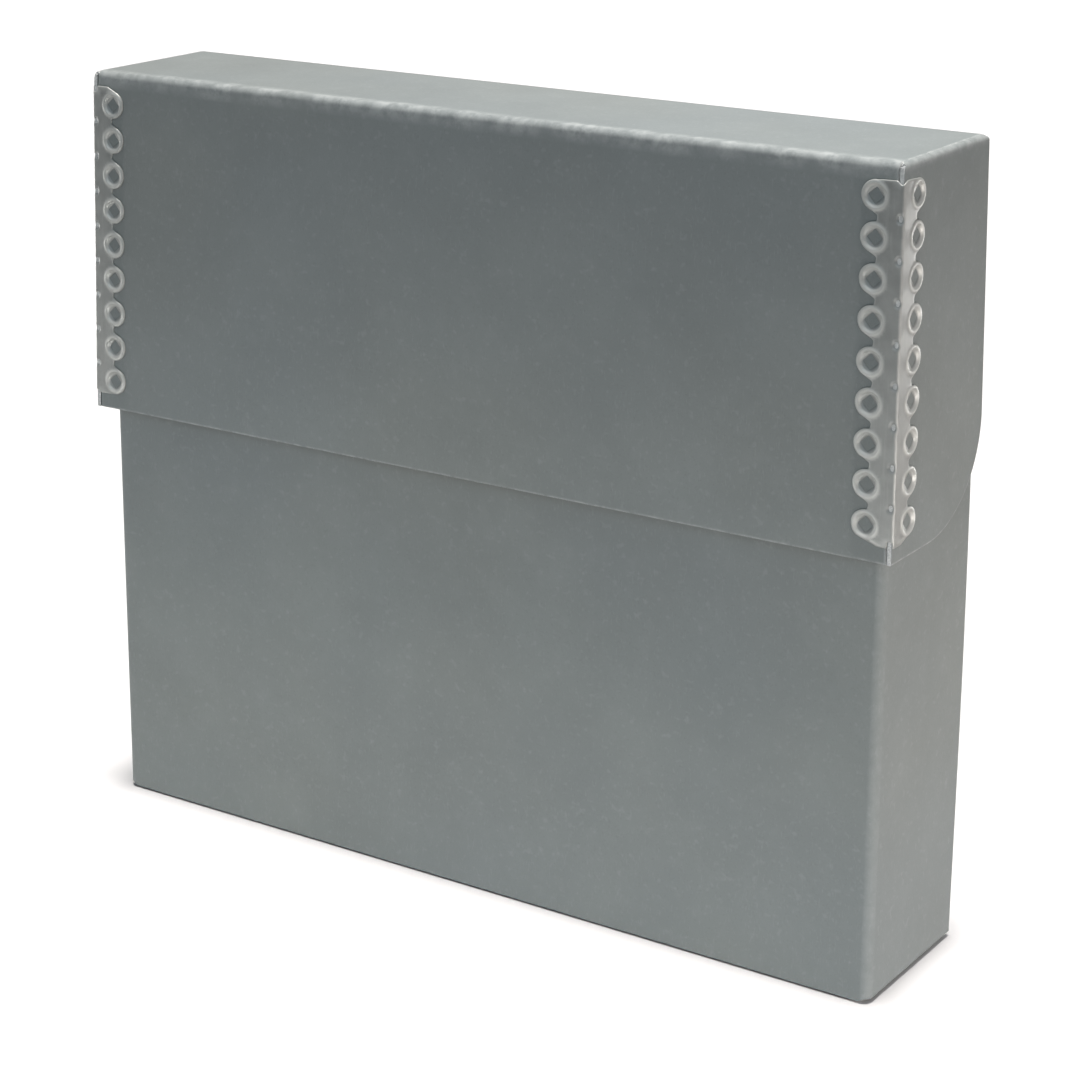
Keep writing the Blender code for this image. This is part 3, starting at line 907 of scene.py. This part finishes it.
def make_stay(side_name, side, strip, material):
    """One pressed stay. The left one is turned end for end, with its blunt end at the top."""
    flat, triangles, lift, painted_highlight = strip
    outer = bend_round(flat, lift, side, STAY_HIGH.z)
    inner = bend_round(flat, lift - METAL, side, STAY_HIGH.z)
    count = len(flat)
    faces = [tuple(face) for face in triangles.tolist()]
    sides = {(face[turn], face[(turn + 1) % 3]) for face in faces for turn in range(3)}
    rim = sorted(edge for edge in sides if edge[::-1] not in sides)
    faces += [tuple(count + corner for corner in reversed(face)) for face in list(faces)]
    faces += [(end, start, count + start, count + end) for start, end in rim]
    points = np.concatenate([outer, inner])
    # The stays' painted highlights go in the same point attribute as the board's wear.
    piece = new_object(f"corner_stay_{side_name}_pressed", points, faces, [material],
                       [0] * len(faces), np.concatenate([painted_highlight, painted_highlight]))
    finish_piece(piece, "lid", "stay_metal", f"corner_stay_{side_name}")


# ---------------------------------------------------------------- stage, lights and camera

def add_floor():
    """A wide pale floor under the case."""
    mesh = bpy.data.meshes.new("floor")
    corners = [(-1, -1), (1, -1), (1, 1), (-1, 1)]
    mesh.from_pydata([(FLOOR_REACH * x, FLOOR_REACH * y, FLOOR_Z) for x, y in corners], [],
                     [(0, 1, 2, 3)])
    floor = bpy.data.objects.new("floor", mesh)
    bpy.context.scene.collection.objects.link(floor)
    mesh.materials.append(floor_material())
    floor.visible_diffuse = False
    floor.visible_glossy = False
    return floor


def all_but(floor):
    """A receiver list for lights that reach everything except the floor."""
    receivers = bpy.data.collections.new("not_floor")
    receivers.objects.link(floor)
    receivers.collection_objects[0].light_linking.link_state = "EXCLUDE"
    return receivers


def add_softbox(name, place, target, size, power, colour, lights_floor, not_floor):
    """An area light that the camera doesn't see, and that may leave the floor alone."""
    light = bpy.data.lights.new(name, "AREA")
    light.shape = "RECTANGLE"
    light.size, light.size_y = size
    light.energy = power
    light.color = colour
    lamp = bpy.data.objects.new(name, light)
    lamp.location = place
    lamp.rotation_euler = (Vector(target) - Vector(place)).to_track_quat("-Z", "Y").to_euler()
    lamp.visible_camera = False
    if not lights_floor:
        lamp.light_linking.receiver_collection = not_floor
    bpy.context.scene.collection.objects.link(lamp)


def add_sky():
    """Dim light from all round, paler above the horizon than below it."""
    world = bpy.data.worlds.new("studio")
    world.use_nodes = True
    tree = world.node_tree
    way = add_node(tree, "ShaderNodeTexCoord").outputs["Generated"]
    height = add_node(tree, "ShaderNodeSeparateXYZ", {"Vector": way}).outputs["Z"]
    colour = mix_colour(tree, remap(tree, height, -0.1, 0.25), SKY_BELOW, SKY_ABOVE)
    tree.links.new(colour, tree.nodes["Background"].inputs["Color"])
    bpy.context.scene.world = world


def add_sun():
    """An overhead light that reaches the whole floor evenly."""
    light = bpy.data.lights.new("overhead", "SUN")
    light.energy = SUN_STRENGTH
    light.angle = math.radians(SUN_SOFTNESS)
    light.color = SUN_COLOUR
    lamp = bpy.data.objects.new("overhead", light)
    lamp.rotation_euler = tuple(math.radians(angle) for angle in SUN_TILT)
    bpy.context.scene.collection.objects.link(lamp)


def add_camera():
    """The camera, turned by yaw, pitch and roll."""
    yaw, pitch, roll = (math.radians(angle) for angle in (CAMERA_YAW, CAMERA_PITCH, CAMERA_ROLL))
    ahead = Vector((-math.sin(yaw) * math.cos(pitch), math.cos(yaw) * math.cos(pitch),
                    -math.sin(pitch)))
    right = Vector((math.cos(yaw), math.sin(yaw), 0))
    up = right.cross(ahead)
    across = right * math.cos(roll) + up * math.sin(roll)
    upright = up * math.cos(roll) - right * math.sin(roll)
    data = bpy.data.cameras.new("camera")
    data.lens = CAMERA_LENS
    data.sensor_width = CAMERA_SENSOR
    data.shift_y = CAMERA_SHIFT_Y
    camera = bpy.data.objects.new("camera", data)
    turned = Matrix((across, upright, -ahead)).transposed().to_4x4()
    camera.matrix_world = Matrix.Translation(CAMERA_PLACE) @ turned
    bpy.context.scene.collection.objects.link(camera)
    bpy.context.scene.camera = camera


def make_everything():
    """Build the case, the lid and the stays."""
    inner_tone = tuple(INNER_SHARE * part for part in BOARD_TONE)
    lid_board = board_material("lid_board_grey", BOARD_TONE)
    case_board = board_material("case_board_grey", BOARD_TONE)
    inner_board = board_material("inner_board_grey", inner_tone)
    cut_edge = cut_edge_material("cut_edge")
    make_case_front([case_board, cut_edge])
    make_case_back([case_board, cut_edge])
    make_case_bottom([inner_board, cut_edge])
    make_lid_front([lid_board, cut_edge])
    make_crease([lid_board, cut_edge])
    metal = stay_material()
    for side_name, side in (("left", -1), ("right", 1)):
        make_lid_side(side_name, side, [lid_board, cut_edge])
        make_stay(side_name, side, flat_stay_mesh(blunt=side < 0), metal)


bpy.context.scene.view_settings.view_transform = "Standard"
add_camera()
make_everything()
not_floor = all_but(add_floor())
add_sky()
add_sun()
for softbox in SOFTBOXES:
    add_softbox(*softbox, not_floor)
